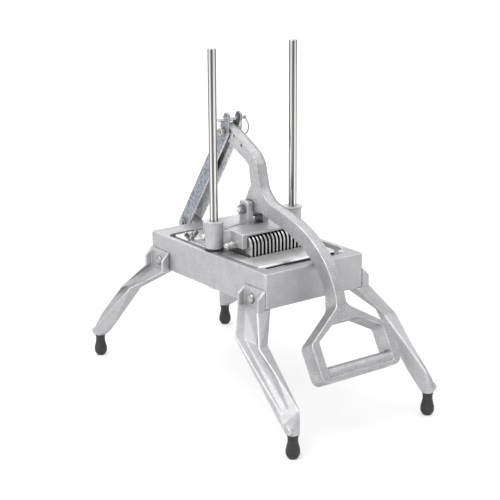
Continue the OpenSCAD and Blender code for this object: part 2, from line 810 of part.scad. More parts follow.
module nose_slot_cut() {
    slot_r = bolt_d / 2 + gap + slot_slack;
    end_r = slot_r * 0.98;
    side_view(-lever_t, lever_t) translate([bolt_y, bolt_z]) rotate(atan2(slot_way[1], slot_way[0]))
        polygon(rounded([[-slot_r, -slot_r, end_r], [nose_slot + slot_r, -slot_r, end_r],
                         [nose_slot + slot_r, slot_r, end_r], [-slot_r, slot_r, end_r]], 8));
}

module lever_handle() {
    color(cast) difference() {
        union() {
            side_view(-lever_t / 2, lever_t / 2) lever_side();
            loop();
        }
        nose_slot_cut();
        rod_along_x(-lever_t, lever_t, pin_y, pin_z, pin_d + 2 * play);
    }
}

// Link: a sheet channel drawn along its own length, from the lower pin to the link bolt

module at_link() {
    translate([0, pivot_y, pivot_z]) rotate([link_angle, 0, 0]) children();
}

module flange_side() {
    half = link_w / 2;
    tip = link_len + ear_len;
    polygon(rounded([[-half, -link_back, link_back * 0.95], [-half, half, half * 0.95], [link_len + 6, half, 10],
                     [tip, detent_at[1] + 6, 5], [tip, detent_at[1] - 6, 5], [link_len - 8, -link_back, 20]]));
}

module handle_link() {
    half = link_w / 2;
    web_end = link_len - 52;
    clear_y = half * 0.9;
    cut_z = -link_back - 1;
    color(zinc) at_link() difference() {
        union() {
            for (x = [link_gap / 2, -flange_out]) side_view(x, x + link_t) flange_side();
            translate([-flange_out, 0, -link_back]) cube([2 * flange_out, web_end, link_t]);
        }
        translate([0, clear_y, cut_z]) cylinder(r = link_gap / 2 - play, h = link_t + 2);
        translate([0, web_end, cut_z]) cylinder(r = link_gap / 2 - 1.5, h = link_t + 2);
        translate([play - link_gap / 2, -half, cut_z]) cube([link_gap - 2 * play, half + clear_y, link_t + 2]);
        rod_along_x(-frame_w, frame_w, 0, 0, pin_d + 2 * play);
        rod_along_x(-frame_w, frame_w, link_len, 0, bolt_d + 2 * play);
        rod_along_x(-frame_w, frame_w, link_len + detent_at[0], detent_at[1], detent_d + 2 * play);
    }
}

module link_bolt() {
    color(zinc) {
        rod_along_x(-flange_out - 8.5, flange_out, bolt_y, bolt_z, bolt_d);
        translate([flange_out, bolt_y, bolt_z]) rotate([0, 90, 0]) cylinder(r = bolt_d * 0.85, h = 4.5, $fn = 6);
    }
}

module link_nut() {
    color(yellow_zinc) translate([-flange_out - 6.5, bolt_y, bolt_z]) rotate([0, 90, 0])
        hex_nut(bolt_d * 0.85, 6.5, bolt_d + 2 * play);
}

module link_spacers() {
    t = link_gap / 2 - lever_t / 2 - gap;
    color(nylon) for (sx = [-1, 1]) at_side(sx) translate([link_gap / 2 - t, bolt_y, bolt_z]) rotate([0, 90, 0])
        difference() {
            cylinder(r = bolt_d, h = t);
            translate([0, 0, -1]) cylinder(d = bolt_d + 2 * play, h = t + 2);
        }
}

// Detent pin and its pull ring

pull_x = flange_out + 11;
ring_wire = 2;

module at_detent() {
    at_link() translate([0, link_len + detent_at[0], detent_at[1]]) rotate([-link_angle, 0, 0]) children();
}

module detent_pin() {
    head_x = flange_out + gap;
    color(polished) at_detent() difference() {
        union() {
            rod_along_x(-flange_out - 11, pull_x + 4, 0, 0, detent_d);
            rod_along_x(head_x, head_x + 4, 0, 0, detent_d * 1.8);
        }
        translate([pull_x, -10, 0]) rotate([-90, 0, 0]) cylinder(d = ring_wire + 4 * gap, h = 20);
    }
}

module pull_ring() {
    color(steel) at_detent() translate([pull_x, 0, -ring_r]) rotate([0, 90, 0])
        rotate_extrude() translate([ring_r, 0]) circle(d = ring_wire, $fn = 24);
}

base_frame();
at_corner(-1, -1) leg();  // leg_front_left
at_corner(1, -1) leg();  // leg_front_right
at_corner(-1, 1) leg();  // leg_rear_left
at_corner(1, 1) leg();  // leg_rear_right
at_corner(-1, -1) foot();  // foot_front_left
at_corner(1, -1) foot();  // foot_front_right
at_corner(-1, 1) foot();  // foot_rear_left
at_corner(1, 1) foot();  // foot_rear_right
leg_screws();
at_side(-1) guide_rod();  // guide_rod_left
at_side(1) guide_rod();  // guide_rod_right
rod_nuts();
rod_bumpers();
blade_deck();
slicing_blades();
blade_rods();
deck_studs();
at_side(-1) wing_nut();  // wing_nut_left
at_side(1) wing_nut();  // wing_nut_right
link_pivot_pin();
link_pivot_clips();
pusher_head();
at_side(-1) bushing();  // bushing_left
at_side(1) bushing();  // bushing_right
pusher_fins();
fin_rods();
fin_spacers();
acorn_nuts();
lever_pin();
lever_pin_nut();
lever_handle();
handle_link();
link_bolt();
link_nut();
link_spacers();
detent_pin();
pull_ring();
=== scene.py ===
import json
import math

import bmesh
import bpy
import numpy as np
from mathutils import Matrix, Vector


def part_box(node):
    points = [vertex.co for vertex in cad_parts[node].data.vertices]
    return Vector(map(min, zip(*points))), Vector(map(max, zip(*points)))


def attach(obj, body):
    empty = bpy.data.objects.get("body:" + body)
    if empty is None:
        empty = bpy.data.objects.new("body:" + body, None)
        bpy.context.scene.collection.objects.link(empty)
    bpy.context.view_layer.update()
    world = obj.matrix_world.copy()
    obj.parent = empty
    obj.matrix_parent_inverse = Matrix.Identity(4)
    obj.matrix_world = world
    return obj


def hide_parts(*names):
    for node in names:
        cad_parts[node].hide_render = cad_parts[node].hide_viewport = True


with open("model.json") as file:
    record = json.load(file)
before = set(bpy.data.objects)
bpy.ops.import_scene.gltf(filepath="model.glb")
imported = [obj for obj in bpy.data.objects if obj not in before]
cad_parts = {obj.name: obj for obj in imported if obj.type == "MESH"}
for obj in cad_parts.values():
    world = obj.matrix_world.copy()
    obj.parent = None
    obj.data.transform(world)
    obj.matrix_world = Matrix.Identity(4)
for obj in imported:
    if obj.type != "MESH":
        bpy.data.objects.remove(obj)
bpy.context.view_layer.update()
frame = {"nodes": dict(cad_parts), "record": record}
MM = 0.001
scene = bpy.context.scene
bodies = frame["record"]["behaviour"]["bodies"]
body_of = {node: body for body, members in bodies.items() for node in members}


def middle(node):
    """The middle of a node's box."""
    low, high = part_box(node)
    return (Vector(low) + Vector(high)) / 2


def set_range(mapper, low, high, out_low, out_high):
    """Set which span a map range node reads and which span it gives."""
    mapper.inputs["From Min"].default_value = low
    mapper.inputs["From Max"].default_value = high
    mapper.inputs["To Min"].default_value = out_low
    mapper.inputs["To Max"].default_value = out_high


# Materials

EDGE_SAMPLES = 6
NOOK_SPAN = (0.8, 0.4)
RIM_SPAN = (0.98, 0.86)


class Look:
    """A node material on one Principled shader, with short ways to add textures to it."""

    def __init__(self, name, colour, roughness, metallic=1.0):
        self.material = bpy.data.materials.new(name)
        self.material.use_nodes = True
        self.tree = self.material.node_tree
        self.shader = next(n for n in self.tree.nodes if n.type == "BSDF_PRINCIPLED")
        self.shader.inputs["Base Color"].default_value = (*colour, 1)
        self.shader.inputs["Roughness"].default_value = roughness
        self.shader.inputs["Metallic"].default_value = metallic
        self.place = self.tree.nodes.new("ShaderNodeTexCoord").outputs["Object"]
        self.bump_normal = None

    def link(self, a, b):
        self.tree.links.new(a, b)

    def stretched(self, scale):
        """Object coordinates scaled along each axis, for streaks and brush marks."""
        node = self.tree.nodes.new("ShaderNodeMapping")
        node.inputs["Scale"].default_value = scale
        self.link(self.place, node.inputs["Vector"])
        return node.outputs["Vector"]

    def noise(self, scale, detail=4.0, rough=0.55, place=None):
        """Fractal noise about a half."""
        node = self.tree.nodes.new("ShaderNodeTexNoise")
        node.inputs["Scale"].default_value = scale
        node.inputs["Detail"].default_value = detail
        node.inputs["Roughness"].default_value = rough
        self.link(place or self.place, node.inputs["Vector"])
        return node.outputs["Fac"]

    def cells(self, scale):
        """One tone for each cell of a random tiling."""
        node = self.tree.nodes.new("ShaderNodeTexVoronoi")
        node.inputs["Scale"].default_value = scale
        self.link(self.place, node.inputs["Vector"])
        grey = self.tree.nodes.new("ShaderNodeSeparateColor")
        self.link(node.outputs["Color"], grey.inputs["Color"])
        return grey.outputs["Red"]

    def ramp(self, value, stops):
        """A colour by the value, between stops of a position and a colour each."""
        node = self.tree.nodes.new("ShaderNodeValToRGB")
        points = node.color_ramp.elements
        while len(points) < len(stops):
            points.new(0.5)
        for point, (at, colour) in zip(points, stops):
            point.position = at
            point.color = (*colour, 1)
        self.link(value, node.inputs["Fac"])
        return node.outputs["Color"]

    def span(self, value, low, high, out_low, out_high):
        """The value carried over from one span to another, and held at its ends."""
        node = self.tree.nodes.new("ShaderNodeMapRange")
        set_range(node, low, high, out_low, out_high)
        self.link(value, node.inputs["Value"])
        return node.outputs["Result"]

    def mix(self, a, b, amount):
        """Colour a turned into colour b by an amount from nought to one."""
        node = self.tree.nodes.new("ShaderNodeMix")
        node.data_type = "RGBA"
        sockets = [s for s in node.inputs if s.enabled]
        for socket, value in zip(sockets, (amount, a, b)):
            if isinstance(value, tuple):
                socket.default_value = (*value, 1)
            else:
                self.link(value, socket)
        return next(s for s in node.outputs if s.enabled)

    def math(self, a, b, way="ADD"):
        node = self.tree.nodes.new("ShaderNodeMath")
        node.operation = way
        for socket, value in zip(node.inputs, (a, b)):
            if isinstance(value, (int, float)):
                socket.default_value = value
            else:
                self.link(value, socket)
        return node.outputs[0]

    def total(self, *shares):
        """The sum of several values, each times its weight."""
        weighted = [self.math(value, weight, "MULTIPLY") for value, weight in shares]
        result = weighted[0]
        for part in weighted[1:]:
            result = self.math(result, part)
        return result

    def edges(self):
        """Above a half on outer edges and below it in hollows."""
        return self.tree.nodes.new("ShaderNodeNewGeometry").outputs["Pointiness"]

    def nooks(self, reach):
        """One deep in a nook between surfaces and nought in the open."""
        shade = self.tree.nodes.new("ShaderNodeAmbientOcclusion")
        shade.samples = EDGE_SAMPLES
        shade.inputs["Distance"].default_value = reach
        return self.span(shade.outputs["AO"], *NOOK_SPAN, 0, 1)

    def rim(self, radius):
        """One at sharp edges and nought on flats."""
        round_edge = self.tree.nodes.new("ShaderNodeBevel")
        round_edge.samples = EDGE_SAMPLES
        round_edge.inputs["Radius"].default_value = radius
        flat = self.tree.nodes.new("ShaderNodeNewGeometry").outputs["Normal"]
        same = self.tree.nodes.new("ShaderNodeVectorMath")
        same.operation = "DOT_PRODUCT"
        self.link(round_edge.outputs["Normal"], same.inputs[0])
        self.link(flat, same.inputs[1])
        return self.span(same.outputs["Value"], *RIM_SPAN, 0, 1)

    def colour(self, value):
        self.link(value, self.shader.inputs["Base Color"])

    def roughness(self, value):
        self.link(value, self.shader.inputs["Roughness"])

    def bump(self, height, strength, distance):
        """Add relief on top of what is there already."""
        node = self.tree.nodes.new("ShaderNodeBump")
        node.inputs["Strength"].default_value = strength
        node.inputs["Distance"].default_value = distance
        self.link(height, node.inputs["Height"])
        if self.bump_normal:
            self.link(self.bump_normal, node.inputs["Normal"])
        self.bump_normal = node.outputs["Normal"]
        self.link(self.bump_normal, self.shader.inputs["Normal"])


# Scales of the castings' noises, where the worn edges with their painted highlight and the painted
# shade in hollows begin, and their colours
CAST_BLOTCH = 60
CAST_MOTTLE = 420
CAST_GRAIN = 1100
CAST_SPECULAR = 0.3
WEAR_AND_HIGHLIGHT_SPAN = (0.505, 0.555)
HOLLOW_SPAN = (0.497, 0.465)
NOOK_REACH = 14 * MM
WEAR_AND_HIGHLIGHT_METAL = (0.95, 0.95, 0.96)
PAINTED_SHADE_TONE = (0.14, 0.14, 0.145)


def cast_look(name, dark, light, rough_low, rough_high, metallic, glance):
    """Tumbled cast aluminium: soft blotches, fine grain, bright worn edges that also carry a painted
    highlight, and painted shade in hollows and in nooks between pieces.

    The glance is how much of the light it mirrors where it is seen nearly edge on.
    """
    look = Look(name, light, rough_low, metallic)
    look.shader.inputs["Specular Tint"].default_value = (glance, glance, glance, 1)
    look.shader.inputs["Specular IOR Level"].default_value = CAST_SPECULAR
    blotch = look.noise(CAST_BLOTCH, 5, 0.62)
    mottle = look.noise(CAST_MOTTLE, 4, 0.65)
    grain = look.noise(CAST_GRAIN, 3, 0.6)
    patch = look.total((blotch, 0.2), (mottle, 0.35), (grain, 0.45))
    body = look.ramp(patch, [(0.36, dark), (0.6, light)])
    # Bright edges: real wear that also serves as a painted highlight along the rims
    wear_and_highlight = look.span(look.edges(), *WEAR_AND_HIGHLIGHT_SPAN, 0, 1)
    wear_and_highlight = look.math(wear_and_highlight, look.span(blotch, 0.36, 0.58, 0.35, 1), "MULTIPLY")
    body = look.mix(body, WEAR_AND_HIGHLIGHT_METAL, look.math(wear_and_highlight, 0.7, "MULTIPLY"))
    # Painted shade: the colour darkened in hollows and in nooks between pieces, where shade falls
    shade_in_hollows = look.span(look.edges(), *HOLLOW_SPAN, 0, 1)
    shade_in_hollows = look.math(shade_in_hollows, look.nooks(NOOK_REACH), "MAXIMUM")
    body = look.mix(body, PAINTED_SHADE_TONE, look.math(shade_in_hollows, 0.65, "MULTIPLY"))
    look.colour(body)
    rough = look.span(patch, 0.35, 0.65, rough_high, rough_low)
    look.roughness(look.math(rough, look.math(wear_and_highlight, 0.12, "MULTIPLY"), "SUBTRACT"))
    look.bump(mottle, 0.3, 0.9 * MM)
    look.bump(grain, 0.2, 0.3 * MM)
    return look.material


def brushed_look(name, dark, light, rough_low, rough_high, strokes, metallic=1.0):
    """Drawn, ground or brushed metal: streaks along the axis where the strokes are few."""
    look = Look(name, light, rough_low, metallic)
    streak = look.noise(1, 3, 0.6, look.stretched(strokes))
    cloud = look.noise(40, 3, 0.5)
    tone = look.total((streak, 0.6), (cloud, 0.4))
    look.colour(look.ramp(tone, [(0.35, dark), (0.65, light)]))
    look.roughness(look.span(tone, 0.35, 0.65, rough_high, rough_low))
    look.bump(streak, 0.06, 0.2 * MM)
    return look.material


# The rods' stripes of painted reflection: how many go round, at which angle they start, and their tones
STRIPES = 6
STRIPE_START = 10.9
ROD_REFLECTION_TONES = [(0.26, (0.13, 0.124, 0.12)), (0.5, (0.3, 0.29, 0.285)), (0.74, (0.78, 0.78, 0.77))]


def painted_reflection_rod_look(name, axis_x):
    """Ground rod with stripes of painted reflection along it, light and dark by the angle round its
    axis.
    """
    look = Look(name, (0.8, 0.79, 0.77), 0.2)
    parts = look.tree.nodes.new("ShaderNodeSeparateXYZ")
    look.link(look.place, parts.inputs["Vector"])
    off_axis = look.math(parts.outputs["X"], axis_x, "SUBTRACT")
    angle = look.math(parts.outputs["Y"], off_axis, "ARCTAN2")
    wander = look.noise(1, 3, 0.5, look.stretched((70, 70, 3)))
    fine = look.noise(1, 3, 0.6, look.stretched((900, 900, 6)))
    turn = look.total((angle, STRIPES), (wander, 1.4))
    wave = look.math(look.math(turn, STRIPE_START), 0, "SINE")
    tone = look.math(wave, look.math(fine, 0.9, "MULTIPLY"))
    # Painted reflections: the stripes' tones set the rod's colour
    look.colour(look.ramp(look.span(tone, -0.9, 1.7, 0, 1), ROD_REFLECTION_TONES))
    look.roughness(look.span(wave, -1, 1, 0.32, 0.16))
    look.bump(fine, 0.05, 0.2 * MM)
    return look.material


ZINC_RIM = 1.1 * MM
ZINC_EDGE_HIGHLIGHT = (0.92, 0.92, 0.93)


def zinc_look(name, dark, light, rough_low, rough_high):
    """Zinc plate with a soft spangle, stains and a painted highlight on its sharp edges."""
    look = Look(name, light, rough_low)
    spangle = look.cells(420)
    stain = look.noise(190, 6, 0.65)
    fine = look.noise(700, 3, 0.5)
    tone = look.total((spangle, 0.3), (stain, 0.7))
    body = look.ramp(tone, [(0.28, dark), (0.68, light)])
    # Painted highlight: the sharp edges turned near white
    look.colour(look.mix(body, ZINC_EDGE_HIGHLIGHT, look.rim(ZINC_RIM)))
    look.roughness(look.span(stain, 0.3, 0.7, rough_high, rough_low))
    look.bump(fine, 0.12, 0.2 * MM)
    return look.material


# The link's own directions, and where the painted shade lies in front of its pivot and along it
PIVOT = middle("link_pivot_pin")
BOLT = middle("link_nut")
LINK_WAY = Vector((0, BOLT.y - PIVOT.y, BOLT.z - PIVOT.z)).normalized()
LINK_FRONT = Vector((0, -LINK_WAY.z, LINK_WAY.y))
FOLD_START = 2 * MM
FOLD_REACH = 5 * MM
SHADE_TOP = 115 * MM
SHADE_FADE = -35 * MM


def zinc_painted_light_look(name, deep, pale):
    """Zinc plate inside the link, painted pale as if lit, with painted shade deep in its fold below the
    bolt and a painted highlight on its edges.
    """
    look = Look(name, pale, 0.45, 0.0)

    def along(way, start, reach):
        dot = look.tree.nodes.new("ShaderNodeVectorMath")
        dot.operation = "DOT_PRODUCT"
        dot.inputs[1].default_value = way
        look.link(look.place, dot.inputs[0])
        first = way.dot(PIVOT) + start
        return look.span(dot.outputs["Value"], first, first + reach, 0, 1)

    stain = look.noise(240, 5, 0.6)
    # Where the painted light reaches: the front of the channel and the part near the pivot
    fold = along(LINK_FRONT, FOLD_START, FOLD_REACH)
    fold = look.math(fold, look.math(stain, 0.4, "MULTIPLY"))
    lit_share = look.math(fold, along(LINK_WAY, SHADE_TOP, SHADE_FADE), "MAXIMUM")
    duller = tuple(0.6 * part for part in pale)
    mottled = look.mix(duller, pale, look.span(stain, 0.4, 0.6, 0, 1))
    # Painted shade in the fold below the bolt, painted light elsewhere, painted highlight on the edges
    body = look.mix(deep, mottled, look.span(lit_share, 0.2, 0.9, 0, 1))
    look.colour(look.mix(body, pale, look.rim(ZINC_RIM)))
    look.roughness(look.span(stain, 0.3, 0.7, 0.5, 0.36))
    return look.material


def plain_look(name, dark, light, rough_low, rough_high, grain):
    """Rubber or plastic with a fine moulded grain."""
    look = Look(name, light, rough_low, 0.0)
    cloud = look.noise(90, 4, 0.6)
    fine = look.noise(grain, 3, 0.6)
    look.colour(look.ramp(cloud, [(0.35, dark), (0.68, light)]))
    look.roughness(look.span(cloud, 0.3, 0.7, rough_high, rough_low))
    look.bump(fine, 0.15, 0.3 * MM)
    return look.material


# How often brush strokes follow each other along x, y and z
ALONG_X = (14, 700, 700)
ALONG_Y = (700, 14, 700)
ALONG_Z = (700, 700, 30)
ALONG_BLADE = (30, 20, 900)
EVEN = (300, 300, 300)
FINE = (350, 350, 350)

# Name, dark and light tone, lowest and highest roughness, and what else the look asks for
CAST = cast_look("cast_aluminium", (0.34, 0.34, 0.353), (0.53, 0.53, 0.545), 0.38, 0.5, 0.6, 0.4)
CAST_HEAD = cast_look("cast_head", (0.34, 0.34, 0.353), (0.53, 0.53, 0.545), 0.38, 0.5, 0.6, 1.0)
CAST_LEVER = cast_look("cast_lever", (0.28, 0.28, 0.291), (0.59, 0.59, 0.605), 0.31, 0.43, 0.72, 0.4)
DECK = brushed_look("polished_deck", (0.5, 0.5, 0.51), (0.76, 0.76, 0.77), 0.36, 0.46, ALONG_Y, 0.75)
DECK_BEVEL_HIGHLIGHT = brushed_look("deck_bevel_painted_highlight", (0.6, 0.6, 0.61), (0.84, 0.84, 0.85), 0.24, 0.34, ALONG_X)
# A dark fill: painted shade on the deck's front face, in the trough and below the lever, and darker
# dimples on the lever
DARK_FILL = brushed_look("dark_aluminium_fill", (0.09, 0.088, 0.09), (0.19, 0.187, 0.19), 0.45, 0.6, EVEN)
BRIGHT = brushed_look("polished_nuts", (0.4, 0.4, 0.4), (0.72, 0.72, 0.72), 0.08, 0.2, EVEN)
FIN_EDGES_HIGHLIGHT = brushed_look("plate_edges_painted_highlight", (0.7, 0.7, 0.7), (0.92, 0.92, 0.91), 0.24, 0.36, ALONG_Z)
FIN_SIDES_SHADE = brushed_look("plate_sides_painted_shade", (0.05, 0.05, 0.05), (0.1, 0.1, 0.1), 0.4, 0.55, ALONG_Z)
LEFT_ROD_REFLECTIONS = painted_reflection_rod_look("rod_left_painted_reflections", middle("guide_rod_left").x)
RIGHT_ROD_REFLECTIONS = painted_reflection_rod_look("rod_right_painted_reflections", middle("guide_rod_right").x)
STEEL = brushed_look("stainless_steel", (0.45, 0.44, 0.43), (0.72, 0.71, 0.69), 0.2, 0.34, FINE)
WORN_STEEL = brushed_look("worn_steel", (0.27, 0.27, 0.27), (0.48, 0.48, 0.48), 0.3, 0.45, FINE)
BLADE = brushed_look("blade_steel", (0.42, 0.42, 0.43), (0.66, 0.66, 0.66), 0.18, 0.3, ALONG_BLADE)
ZINC = zinc_look("zinc_plate", (0.13, 0.14, 0.165), (0.42, 0.44, 0.48), 0.36, 0.5)
ZINC_INSIDE_PAINTED_LIGHT = zinc_painted_light_look("zinc_inside_painted_light", (0.08, 0.08, 0.09), (0.97, 0.97, 0.98))
YELLOW = zinc_look("yellow_zinc", (0.5, 0.47, 0.36), (0.88, 0.86, 0.74), 0.2, 0.32)
CHROME = brushed_look("chrome_pin", (0.45, 0.45, 0.46), (0.8, 0.8, 0.8), 0.1, 0.2, EVEN)
DARK_STEEL = brushed_look("dark_steel_wire", (0.16, 0.16, 0.16), (0.36, 0.36, 0.36), 0.22, 0.36, FINE)
RUBBER = plain_look("black_rubber", (0.012, 0.012, 0.014), (0.028, 0.028, 0.031), 0.46, 0.62, 900)
NYLON = plain_look("pale_nylon", (0.36, 0.36, 0.36), (0.56, 0.56, 0.55), 0.4, 0.5, 600)


# Pieces made from the frame's nodes

def dress(mesh, name, node, material):
    """Make a piece of a mesh, which rides with its node's body and stands in for the node."""
    piece = bpy.data.objects.new(name, mesh)
    scene.collection.objects.link(piece)
    mesh.materials.clear()
    mesh.materials.append(material)
    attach(piece, body_of[node])
    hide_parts(node)


def baked(piece):
    """The piece's mesh with its modifiers applied."""
    graph = bpy.context.evaluated_depsgraph_get()
    return bpy.data.meshes.new_from_object(piece.evaluated_get(graph))


def rounded_casting(node, voxel, passes, keep, marks):
    """A node's form with every edge and hollow rounded, as sand casting and tumbling leave it."""
    rough = bpy.data.objects.new("rough", frame["nodes"][node].data.copy())
    scene.collection.objects.link(rough)
    skin = rough.modifiers.new("skin", "REMESH")
    skin.mode = "VOXEL"
    skin.voxel_size = voxel
    soften = rough.modifiers.new("soften", "SMOOTH")
    soften.factor = 0.5
    soften.iterations = passes
    rough.data = baked(rough)
    rough.modifiers.clear()
    if marks:
        marks(rough.data)
    thin = rough.modifiers.new("thin", "DECIMATE")
    thin.ratio = keep
    mesh = baked(rough)
    bpy.data.objects.remove(rough)
    mesh.polygons.foreach_set("use_smooth", [True] * len(mesh.polygons))
    return mesh


def read_points(mesh):
    """The mesh's points, one row each."""
    rows = np.empty(3 * len(mesh.vertices))
    mesh.vertices.foreach_get("co", rows)
    return rows.reshape(-1, 3)


def read_normals(mesh):
    """The normals at the mesh's points, one row each."""
    rows = np.empty(3 * len(mesh.vertices))
    mesh.vertex_normals.foreach_get("vector", rows)
    return rows.reshape(-1, 3)


def write_points(mesh, points):
    mesh.vertices.foreach_set("co", points.ravel())
    mesh.update()


# The lever's dimples as places in y and z, and the draft of its faces away from the parting seam
DIMPLES = [(40.1 * MM, 394 * MM), (20.9 * MM, 382.4 * MM)]
DIMPLE_R = 2.8 * MM
DIMPLE_DEEP = 2.4 * MM
DIMPLE_FACE_X = -6 * MM
DIMPLE_BED_X = -5 * MM
DIMPLE_DARK_SHARE = 0.8
SEAM_X = 2.5 * MM
SEAM_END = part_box("lever_handle")[0][1] + 140 * MM
SEAM_FADE = 30 * MM
DRAFT_SLOPE = 0.22
DRAFT_LEVEL = 4 * MM
DRAFT_DEEP = 1.2 * MM
SIDE_NORMAL = 0.75
SIDE_FADE = 0.4


def lever_marks(mesh):
    """Two dimples on the left near the nose, and draft on the front and back of the arm."""
    points = read_points(mesh)
    normals = read_normals(mesh)
    off_seam = np.abs(points[:, 0] - SEAM_X)
    flatness = np.clip((SIDE_NORMAL - np.abs(normals[:, 0])) / SIDE_FADE, 0, 1)
    start = np.clip((points[:, 1] - SEAM_END) / SEAM_FADE, 0, 1)
    draft = np.maximum(DRAFT_SLOPE * (DRAFT_LEVEL - off_seam), -DRAFT_DEEP)
    rise = flatness * start * draft
    points += normals * rise[:, None]
    for y, z in DIMPLES:
        away = np.hypot(points[:, 1] - y, points[:, 2] - z)
        hollow = (away < DIMPLE_R) & (points[:, 0] < DIMPLE_FACE_X)
        depth = DIMPLE_DEEP * np.cos(math.pi / 2 * away / DIMPLE_R)
        points[:, 0] += np.where(hollow, depth, 0)
    write_points(mesh, points)


def in_dimple(place):
    near = (math.hypot(place.y - y, place.z - z) < DIMPLE_DARK_SHARE * DIMPLE_R for y, z in DIMPLES)
    return place.x < DIMPLE_BED_X and any(near)


# The trough in front of the deck, and the strip of painted shade along its rear
TROUGH_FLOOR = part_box("blade_deck")[1][2] - 5.5 * MM
TROUGH_HALF = 72 * MM
TROUGH_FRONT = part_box("base_frame")[0][1] + 17 * MM
TROUGH_REAR = TROUGH_FRONT + 23 * MM
TROUGH_WALL = 6 * MM
STRIP_FRONT = TROUGH_REAR - 12 * MM
STRIP_LOW = TROUGH_FLOOR - 3 * MM
STRIP_HIGH = TROUGH_FLOOR + 4 * MM


def frame_marks(mesh):
    """The trough between the front flange and the deck's lip, down to the ledge below the deck."""
    points = read_points(mesh)
    fall = np.clip((points[:, 1] - TROUGH_FRONT) / TROUGH_WALL, 0, 1)
    fall *= np.clip((TROUGH_HALF - np.abs(points[:, 0])) / TROUGH_WALL, 0, 1)
    fall = np.where((points[:, 1] < TROUGH_REAR) & (points[:, 2] > TROUGH_FLOOR), fall, 0)
    points[:, 2] -= fall * (points[:, 2] - TROUGH_FLOOR)
    write_points(mesh, points)


def in_trough(place):
    in_height = STRIP_LOW < place.z < STRIP_HIGH
    return in_height and STRIP_FRONT < place.y < TROUGH_REAR and abs(place.x) < TROUGH_HALF


# The shaded gap between the head's two lugs
GAP_HALF_X = 9.6 * MM
GAP_HALF_Y = 15 * MM
GAP_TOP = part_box("lever_pin")[0][2] - 12 * MM


def under_lever(place):
    return abs(place.x) < GAP_HALF_X and abs(place.y) < GAP_HALF_Y and place.z < GAP_TOP


WELD = 2e-6
COPLANAR = math.radians(0.5)
CORNER = math.radians(30)
CREASE = math.radians(35)
BEVEL_STEPS = 2


def bends(edge, angle):
    return edge.is_manifold and edge.calc_face_angle() > angle


def crisp_form(node, width):
    """A node's form with a narrow rounded edge, as machining and deburring leave it."""
    mesh = bpy.data.meshes.new(node + "_form")
    work = bmesh.new()
    work.from_mesh(frame["nodes"][node].data)
    bmesh.ops.remove_doubles(work, verts=work.verts, dist=WELD)
    bmesh.ops.dissolve_limit(work, angle_limit=COPLANAR, verts=work.verts, edges=work.edges)
    if width:
        corners = [edge for edge in work.edges if bends(edge, CORNER)]
        bmesh.ops.bevel(work, geom=corners, offset=width, segments=BEVEL_STEPS, profile=0.5,
                        affect="EDGES", clamp_overlap=True)
    for edge in work.edges:
        edge.smooth = not bends(edge, CREASE)
    for face in work.faces:
        face.smooth = True
    work.to_mesh(mesh)
    work.free()
    return mesh


# Node, size of the skin's cells in mm, rounds of smoothing, and the share of faces that stays
CASTINGS = [
    ("base_frame", 0.9, 3, 0.3),
    ("leg_front_left", 0.8, 18, 0.3),
    ("leg_front_right", 0.8, 18, 0.3),
    ("leg_rear_left", 0.8, 18, 0.3),
    ("leg_rear_right", 0.8, 18, 0.3),
    ("pusher_head", 0.8, 6, 0.3),
    ("lever_handle", 0.8, 10, 0.35),
]
MARKS = {"lever_handle": lever_marks, "base_frame": frame_marks}
FINISH = {"lever_handle": CAST_LEVER, "pusher_head": CAST_HEAD}
for node, voxel, passes, keep in CASTINGS:
    form = rounded_casting(node, voxel * MM, passes, keep, MARKS.get(node))
    dress(form, node + "_casting", node, FINISH.get(node, CAST))

# Node, width of the rounded edge in mm, material and slot
CRISP = [
    ("guide_rod_left", 0, LEFT_ROD_REFLECTIONS, "stainless_steel"),
    ("guide_rod_right", 0, RIGHT_ROD_REFLECTIONS, "stainless_steel"),
    ("rod_nuts", 0.5, STEEL, "stainless_steel"),
    ("rod_bumpers", 0.4, RUBBER, "black_rubber"),
    ("foot_front_left", 0, RUBBER, "black_rubber"),
    ("foot_front_right", 0, RUBBER, "black_rubber"),
    ("foot_rear_left", 0, RUBBER, "black_rubber"),
    ("foot_rear_right", 0, RUBBER, "black_rubber"),
    ("leg_screws", 0, WORN_STEEL, "stainless_steel"),
    ("blade_deck", 0.5, DECK, "polished_aluminium"),
    ("slicing_blades", 0, BLADE, "stainless_steel"),
    ("blade_rods", 0.4, STEEL, "stainless_steel"),
    ("deck_studs", 0.6, STEEL, "stainless_steel"),
    ("wing_nut_left", 0.4, BRIGHT, "stainless_steel"),
    ("wing_nut_right", 0.4, BRIGHT, "stainless_steel"),
    ("link_pivot_pin", 0.4, WORN_STEEL, "stainless_steel"),
    ("link_pivot_clips", 0.15, WORN_STEEL, "stainless_steel"),
    ("bushing_left", 0.5, NYLON, "pale_nylon"),
    ("bushing_right", 0.5, NYLON, "pale_nylon"),
    ("pusher_fins", 0.35, FIN_EDGES_HIGHLIGHT, "stainless_steel"),
    ("fin_rods", 0.4, STEEL, "stainless_steel"),
    ("fin_spacers", 0.2, STEEL, "stainless_steel"),
    ("acorn_nuts", 0.3, BRIGHT, "polished_aluminium"),
    ("lever_pin", 0.5, STEEL, "stainless_steel"),
    ("lever_pin_nut", 0.5, DARK_STEEL, "stainless_steel"),
    ("handle_link", 0.5, ZINC, "zinc_plated_steel"),
    ("link_bolt", 0.5, ZINC, "zinc_plated_steel"),
    ("link_nut", 0.5, YELLOW, "yellow_zinc_steel"),
    ("link_spacers", 0.2, NYLON, "pale_nylon"),
    ("detent_pin", 0.4, CHROME, "polished_aluminium"),
    ("pull_ring", 0, DARK_STEEL, "stainless_steel"),
]
for node, width, material, slot in CRISP:
    dress(crisp_form(node, width * MM), node + "_piece", node, material)

